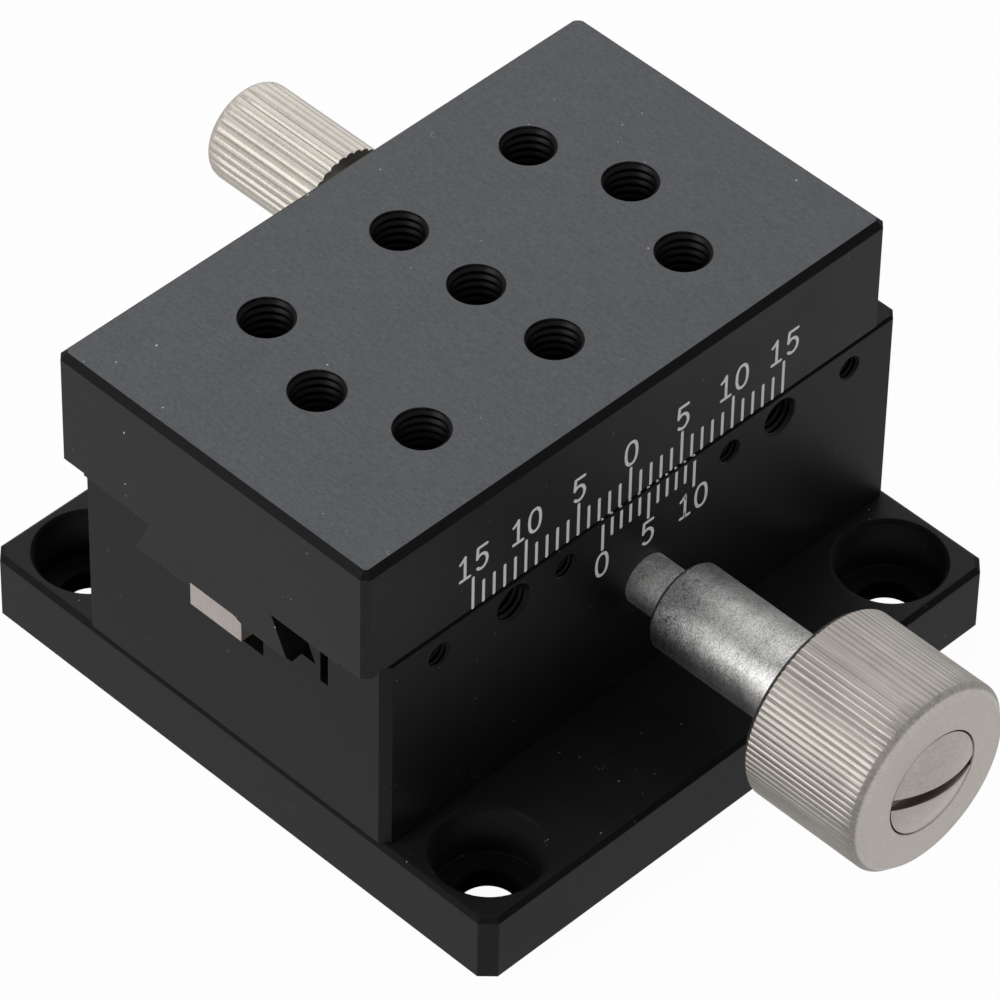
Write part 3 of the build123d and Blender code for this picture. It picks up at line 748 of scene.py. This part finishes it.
@dataclass
class DriveKnob:
    """Knob, end screw, sleeve and shaft of the drive."""
    end_chamfer: float = 0.75
    start_chamfer: float = 0.4
    bore: float = 2.51
    stem_bore: float = 1.7
    seat: float = -39.8
    dome: float = 0.9
    slot: float = 0.9
    slot_floor: float = -41.5
    slot_turn: float = 9.0
    slot_edge: float = 0.12
    rim: float = 0.1
    gap: float = 0.05
    rows: int = 6
    ribs: Ribs = field(default_factory=lambda: Ribs(94, 0.065, 0.4))

    def __post_init__(self) -> None:
        """Takes the knob's place and size, and what sits in it, from the frame."""
        box = Measured("drive_knob")
        self.level = box.middle[2]
        self.radius = box.high[2] - self.level
        self.end, self.start = box.low[1], box.high[1]
        self.head = Measured("knob_end_screw").high[0]
        self.sleeve_end = Measured("knob_sleeve").low[1]

    def knob(self) -> Shell:
        """The knob: a ribbed band, and turned rings for its end, its rear and its inside.

        Returns:
            The knob's closed shell.
        """
        foot = self.radius - self.end_chamfer
        lip = self.end + self.end_chamfer
        end = np.array([[foot, self.end], [foot + 0.05, self.end + 0.02],
                        [self.radius - 0.04, lip - 0.06], [self.radius, lip + 0.05]])
        back = self.radius - self.start_chamfer
        brow = self.start - self.start_chamfer
        rear = np.array([[self.radius, brow - 0.04], [self.radius - 0.04, brow + 0.03],
                         [back + 0.05, self.start - 0.02], [back, self.start]])
        band = ribbed_band(self.ribs, self.radius, end, rear, self.rows)
        columns = band.shape[1]
        recess = self.head + 0.01
        inside = np.array([[back, self.start], [self.bore + 0.49, self.start], [self.bore, self.start],
                           [self.bore, self.sleeve_end], [self.stem_bore, self.sleeve_end],
                           [self.stem_bore, self.seat], [recess, self.seat], [recess, self.end + 0.08],
                           [recess + 0.06, self.end], [self.head + 0.6, self.end],
                           [foot - 0.4, self.end], [foot, self.end]])
        shell = Shell()
        shell.add(np.concatenate([band, turned(inside, columns)[1:-1]]), wrap_rows=True, wrap_columns=True)
        return shell.place(TURN_UP, (0, 0, self.level))

    def screw(self) -> Shell:
        """The end screw: a domed cap cut by a slot, over a turned head and stem.

        The cap is a grid of lines along the slot, each from rim to rim. Its height is that of
        a ball's cap, rounded down at the rim, and falls to the slot's floor between its walls.

        Returns:
            The screw's closed shell.
        """
        half = self.slot / 2
        head = self.head - self.gap
        edge = self.slot_edge
        in_slot = 9.0
        lines = half + np.array([-half, -0.4 * half, 0.0, 0.0, edge / 6, edge / 2, edge])
        drop = np.array([in_slot, in_slot, in_slot, edge, edge / 3, edge / 12, 0.0])
        rest = head * np.sin(np.linspace(math.asin((half + 0.2) / head), math.pi / 2, 16))
        lines = np.concatenate([lines, rest])
        drop = np.concatenate([drop, np.zeros(len(rest))])
        across = np.concatenate([-lines[:0:-1], lines])[:, None]
        fall = np.concatenate([drop[:0:-1], drop])[:, None]
        chord = np.sqrt(np.maximum(head ** 2 - across ** 2, 0))
        along = chord * np.sin(np.linspace(-math.pi / 2, math.pi / 2, 41))[None, :]
        r = np.sqrt(across ** 2 + along ** 2)
        ball = (head ** 2 + self.dome ** 2) / (2 * self.dome)
        height = np.sqrt(ball ** 2 - r ** 2) - ball + self.dome
        rim = np.clip((r - head + self.rim) / self.rim, 0, 1)
        height = height - self.rim * (1 - np.sqrt(1 - rim ** 2)) - fall
        y = np.where(fall == in_slot, self.slot_floor, self.end - height)
        turn = math.radians(self.slot_turn)
        x = along * math.cos(turn) + across * math.sin(turn)
        z = -along * math.sin(turn) + across * math.cos(turn)
        cap = np.stack([x, np.broadcast_to(y, x.shape), z], axis=-1)
        shell = Shell()
        shell.add(cap)
        loop = np.concatenate([cap[:, -1], cap[::-1, 0]])
        base = loop.copy()
        base[:, 1] = self.seat
        pole = np.zeros_like(base)
        pole[:, 1] = self.seat
        shell.add(np.stack([loop, base, pole]), wrap_columns=True)
        return shell.place(TURN_UP, (0, 0, self.level))

    def build(self) -> None:
        """Builds the knob and its screw and dresses the drive's other pieces."""
        knob = self.knob().build("knurled_knob", "drive", KNURL_NICKEL.make(), "nickel", 28.0)
        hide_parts("drive_knob")
        screw = self.screw().build("domed_end_screw", "drive", SCREW_NICKEL.make(), "nickel", 40.0)
        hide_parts("knob_end_screw")
        dress(SHAFT_STEEL, "knob_sleeve", "thrust_washers")
        # The drive shaft's neck gets the lighter copy of the shaft steel, as painted light.
        dress(PAINTED_LIT_STEEL, "pinion_shaft")
        dress(BRASS, "pinion")
        dress(BLACK_OXIDE, "sleeve_set_screw", "pinion_set_screw")


@dataclass
class Clamp:
    """Clamp knob, its stud and its pad."""
    radius: float = 4.0
    edge: float = 0.85
    valley_edge: float = 0.25
    rows: int = 6
    ribs: Ribs = field(default_factory=lambda: Ribs(30, 0.18, 0.25, 12))

    def knob(self) -> Shell:
        """The knob: a ribbed band with a rounded far end, closed by its faces and its bore.

        Returns:
            The knob's closed shell.
        """
        box = Measured("clamp_knob")
        start, end = box.low[1], box.high[1]
        stud = Measured("clamp_screw")
        bore = stud.high[0] - stud.middle[0] + 0.01
        bore_end = stud.high[1] + 0.03
        bend = np.linspace(math.pi / 2, 0, 9)
        round_end = np.stack([self.radius - self.edge + self.edge * np.sin(bend),
                              end - self.edge + self.edge * np.cos(bend)], axis=1)
        foot = self.radius - self.ribs.depth - self.valley_edge
        near = np.array([[foot, start], [self.radius - 0.05, start + 0.03], [self.radius, start + 0.08]])
        band = ribbed_band(self.ribs, self.radius, near, round_end, self.rows)
        columns = band.shape[1]
        inside = np.array([[self.radius - self.edge, end], [2.2, end], [0.9, end], [0.0, end],
                           [0.0, bore_end], [bore, bore_end], [bore, start], [2.4, start], [foot, start]])
        shell = Shell()
        rings = turned(inside, columns)[1:-1]
        shell.add(np.concatenate([band, rings]), wrap_rows=True, wrap_columns=True)
        return shell.place(TURN_UP, (box.middle[0], 0, box.middle[2]))

    def build(self) -> None:
        """Builds the knob and dresses stud and pad."""
        knob = self.knob().build("ribbed_clamp_knob", "clamp", NICKEL.make(), "nickel", 40.0)
        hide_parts("clamp_knob")
        dress(SHAFT_STEEL, "clamp_screw")
        dress(BRASS, "clamp_pad")


@dataclass
class Engraving:
    """Filled engraved lines and figures on a front face."""
    front: float
    width: float = 0.27
    proud: float = 0.004
    figure_height: float = 2.05
    figure_width: float = 1.05
    figure_gap: float = 0.52
    bend_at: float = math.inf
    tip_steps: int = 4
    line_points: int = 7

    def stroke(self, path: np.ndarray, closed: bool = False) -> Shell:
        """A flat band along a path, with round ends.

        The path is a list of (x, height) points. Each row of the grid is a path point moved to
        both sides by half the line width, which shrinks as a circle does past the path's ends.
        Above the height where the face's edge is broken the band leans back with it.

        Args:
            path: The path's points.
            closed: True for a ring.

        Returns:
            The band as a closed shell.
        """
        half = self.width / 2
        if closed:
            ahead = np.roll(path, -1, axis=0) - np.roll(path, 1, axis=0)
            reach = np.full(len(path), half)
            centre = path
        else:
            ahead = np.gradient(path, axis=0)
            first = ahead[0] / np.linalg.norm(ahead[0])
            last = ahead[-1] / np.linalg.norm(ahead[-1])
            past = half * np.sin(np.linspace(math.pi / 2, 0, self.tip_steps + 1))[:-1]
            centre = np.concatenate([path[0] - past[:, None] * first, path,
                                     path[-1] + past[::-1, None] * last])
            steps = (self.tip_steps, 1)
            ahead = np.concatenate([np.tile(first, steps), ahead, np.tile(last, steps)])
            tip = np.sqrt(np.maximum(half ** 2 - past ** 2, 0))
            reach = np.concatenate([tip, np.full(len(path), half), tip[::-1]])
        ahead = ahead / np.linalg.norm(ahead, axis=1, keepdims=True)
        side = np.stack([-ahead[:, 1], ahead[:, 0]], axis=1)
        across = np.array([-1.0, -0.8, 0.0, 0.8, 1.0, 0.8, 0.0, -0.8])
        lift = np.array([0.2, 1.0, 0.75, 1.0, 0.2, -3.0, -3.0, -3.0]) * self.proud
        flat = centre[:, None] + side[:, None] * reach[:, None, None] * across[None, :, None]
        over = np.maximum(flat[..., 1] - self.bend_at, 0) * math.sqrt(0.5)
        y = self.front + over - lift[None, :]
        z = np.minimum(flat[..., 1], self.bend_at) + over
        shell = Shell()
        shell.add(np.stack([flat[..., 0], y, z], axis=-1), wrap_rows=closed, wrap_columns=True)
        return shell

    def line(self, x: float, low: float, high: float) -> Shell:
        """One upright line.

        Args:
            x: Its place.
            low: Lower end.
            high: Upper end.

        Returns:
            The line's shell.
        """
        z = np.linspace(low, high, self.line_points)
        return self.stroke(np.stack([np.full(self.line_points, x), z], axis=1))

    def figure(self, digit: str, left: float, foot: float) -> Shell:
        """One figure of single-line strokes.

        Args:
            digit: "0", "1" or "5".
            left: Its left limit.
            foot: Its lower limit.

        Returns:
            The figure's shell.
        """
        shell = Shell()
        strokes: list[tuple[np.ndarray, bool]] = []
        if digit == "0":
            t = np.arange(36) * 2 * math.pi / 36
            squareness = 0.85
            round_x = np.sign(np.cos(t)) * np.abs(np.cos(t)) ** squareness
            round_z = np.sign(np.sin(t)) * np.abs(np.sin(t)) ** squareness
            strokes.append((np.stack([0.5 + 0.5 * round_x, 0.5 + 0.5 * round_z], axis=1), True))
        elif digit == "1":
            strokes.append((np.array([[0.5, 0.0], [0.5, 0.5], [0.5, 1.0]]), False))
            strokes.append((np.array([[0.5, 1.0], [0.3, 0.88], [0.08, 0.8]]), False))
            strokes.append((np.array([[0.08, 0.0], [0.5, 0.0], [0.92, 0.0]]), False))
        else:
            strokes.append((np.array([[0.95, 1.0], [0.55, 1.0], [0.15, 1.0]]), False))
            strokes.append((np.array([[0.15, 1.0], [0.12, 0.78], [0.09, 0.55]]), False))
            t = np.linspace(math.radians(140), math.radians(-135), 24)
            strokes.append((np.stack([0.48 + 0.5 * np.cos(t), 0.325 + 0.325 * np.sin(t)], axis=1), False))
        for path, closed in strokes:
            path = path * [self.figure_width, self.figure_height] + [left, foot]
            shell.merge(self.stroke(path, closed))
        return shell

    def number(self, text: str, middle: float, foot: float) -> Shell:
        """A number centred on a place.

        Args:
            text: Its figures.
            middle: Place of its middle.
            foot: Its lower limit.

        Returns:
            The number's shell.
        """
        step = self.figure_width + self.figure_gap
        left = middle - (step * (len(text) - 1) + self.figure_width) / 2
        shell = Shell()
        for n, digit in enumerate(text):
            shell.merge(self.figure(digit, left + n * step, foot))
        return shell


@dataclass
class Scales:
    """The platform's millimetre scale and the body's vernier."""
    reach: int = 15
    group: int = 5
    scale_lift: float = 0.28
    long_line: float = 2.8
    short_line: float = 1.9
    figure_gap: float = 0.42
    vernier_start: float = -4.45
    vernier_pitch: float = 0.893
    vernier_count: int = 10
    vernier_drop: float = 0.10
    edge_break: float = 0.2

    def length(self, n: int) -> float:
        """Length of the line with this number."""
        return self.short_line if n % self.group else self.long_line

    def millimetres(self, body_top: float) -> Shell:
        """The platform's scale, whose lines stand on a level just above the body.

        Args:
            body_top: Height of the body's top.

        Returns:
            The scale's shell.
        """
        plate = Measured("slide_plate")
        face = Engraving(plate.low[1])
        foot = body_top + self.scale_lift
        shell = Shell()
        for n in range(-self.reach, self.reach + 1):
            x = plate.middle[0] + n
            shell.merge(face.line(x, foot, foot + self.length(n)))
            if n % self.group == 0:
                shell.merge(face.number(str(abs(n)), x, foot + self.long_line + self.figure_gap))
        return shell

    def vernier(self, front: float, body_top: float) -> Shell:
        """The body's vernier, whose lines hang from its broken top edge.

        Args:
            front: Place of the body's front face.
            body_top: Height of the body's top.

        Returns:
            The vernier's shell.
        """
        face = Engraving(front, bend_at=body_top - self.edge_break)
        top = body_top - self.vernier_drop
        shell = Shell()
        for n in range(self.vernier_count + 1):
            x = self.vernier_start + n * self.vernier_pitch
            low = top - self.length(n)
            shell.merge(face.line(x, low, top))
            if n % self.group == 0:
                shell.merge(face.number(str(n), x, low - self.figure_gap - face.figure_height))
        return shell

    def build(self) -> None:
        """Builds the scale and the vernier."""
        body = Measured("body_block")
        front, top = body.low[1], body.high[2]
        paint = SCALE_PAINT.make()
        self.millimetres(top).build("millimetre_scale", "slide", paint, "anodised", 30.0)
        self.vernier(front, top).build("vernier_scale", "base", paint, "anodised", 30.0)


@dataclass
class Studio:
    """Camera, lamps, floor and world."""
    focal: float = 265.37
    azimuth: float = -45.684
    elevation: float = 44.728
    roll: float = 1.1915
    distance: float = 500.398
    target: tuple[float, float, float] = (-8.19, -8.83, 23.5)
    sensor: float = 36.0
    clip: tuple[float, float] = (0.01, 20.0)
    lamp_target: tuple[float, float, float] = (0.0, 0.0, 20.0)
    world_grey: Colour = (0.36, 0.365, 0.38)
    floor_grey: Colour = (0.62, 0.62, 0.63)
    floor_glow: float = 0.97
    floor_half: float = 3.0
    floor_drop: float = 0.00001

    def camera(self) -> None:
        """Puts the camera where the fit to the photograph has it."""
        az, el, roll = (math.radians(v) for v in (self.azimuth, self.elevation, self.roll))
        back = Vector((math.sin(az) * math.cos(el), -math.cos(az) * math.cos(el), math.sin(el)))
        right = (-back).cross(Vector((0, 0, 1))).normalized()
        up = right.cross(-back)
        right, up = (right * math.cos(roll) + up * math.sin(roll),
                     up * math.cos(roll) - right * math.sin(roll))
        data = bpy.data.cameras.new("photo_camera")
        data.lens = self.focal
        data.sensor_width = self.sensor
        data.clip_start, data.clip_end = self.clip
        camera = bpy.data.objects.new("photo_camera", data)
        turn = Matrix((right, up, back)).transposed().to_4x4()
        place = (Vector(self.target) + back * self.distance) * MM
        camera.matrix_world = Matrix.Translation(place) @ turn
        bpy.context.scene.collection.objects.link(camera)
        bpy.context.scene.camera = camera

    def lamp(self, name: str, place: tuple[float, float, float], side: float, power: float) -> None:
        """One soft square lamp that faces the stage.

        Args:
            name: Its name.
            place: Its place in millimetres.
            side: Its side in millimetres.
            power: Its power in watts.
        """
        data = bpy.data.lights.new(name, "AREA")
        data.shape = "SQUARE"
        data.size = side * MM
        data.energy = power
        lamp = bpy.data.objects.new(name, data)
        lamp.location = Vector(place) * MM
        ahead = Vector(self.lamp_target) - Vector(place)
        lamp.rotation_euler = ahead.to_track_quat("-Z", "Y").to_euler()
        bpy.context.scene.collection.objects.link(lamp)

    def background(self, tree: Tree) -> Socket:
        """1 for rays that should see the white background, else 0.

        Args:
            tree: The tree that asks.

        Returns:
            The mask's socket.
        """
        path = tree.add("LightPath")
        seen = tree.math("MAXIMUM", path.outputs["Is Camera Ray"], path.outputs["Is Glossy Ray"])
        return tree.math("MAXIMUM", seen, path.outputs["Is Transmission Ray"])

    def world(self) -> None:
        """A plain grey world that shows as white."""
        world = bpy.data.worlds.new("plain_studio")
        world.use_nodes = True
        tree = Tree(world.node_tree)
        shade = world.node_tree.nodes["Background"]
        colour = tree.mix(self.background(tree), rgba(self.world_grey), rgba(WHITE))
        tree.feed(shade.inputs["Color"], colour)
        bpy.context.scene.world = world

    def floor(self) -> None:
        """A pale floor that shows as white and keeps a soft shadow."""
        mesh = bpy.data.meshes.new("floor")
        half = self.floor_half
        corners = [(x * half, y * half, -self.floor_drop) for x, y in ((-1, -1), (1, -1), (1, 1), (-1, 1))]
        mesh.from_pydata(corners, [], [(0, 1, 2, 3)])
        material = bpy.data.materials.new("pale_floor")
        material.use_nodes = True
        tree = Tree(material.node_tree)
        shader = material.node_tree.nodes["Principled BSDF"]
        shader.inputs["Base Color"].default_value = rgba(self.floor_grey)
        shader.inputs["Roughness"].default_value = 0.9
        shader.inputs["Specular IOR Level"].default_value = 0.1
        glow = tree.add("Emission", {"Color": rgba(WHITE), "Strength": 1.0})
        share = tree.math("MULTIPLY", self.background(tree), self.floor_glow)
        both = tree.add("MixShader", {0: share, 1: shader.outputs[0], 2: glow.outputs[0]})
        tree.feed(material.node_tree.nodes["Material Output"].inputs["Surface"], both.outputs[0])
        mesh.materials.append(material)
        floor = bpy.data.objects.new("floor", mesh)
        bpy.context.scene.collection.objects.link(floor)

    def build(self) -> None:
        """Sets up the whole studio."""
        self.camera()
        self.world()
        self.floor()
        self.lamp("back_softbox", (260, 330, 470), 700, 1.8)
        self.lamp("left_softbox", (-480, 140, 235), 320, 2.1)
        bpy.context.scene.view_settings.view_transform = "Standard"
        LOG.info("studio ready")


def main() -> None:
    """Builds every sub-assembly in order."""
    logging.basicConfig(level=logging.INFO, format="%(name)s %(message)s")
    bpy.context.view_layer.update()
    for make in (make_grain_group, make_dust_group, make_cloud_group, make_edge_group):
        make()
    for part in (Studio(), Platform(), BodyBlock(), DriveKnob(), Clamp(), Scales()):
        part.build()


if __name__ == "__main__":
    main()
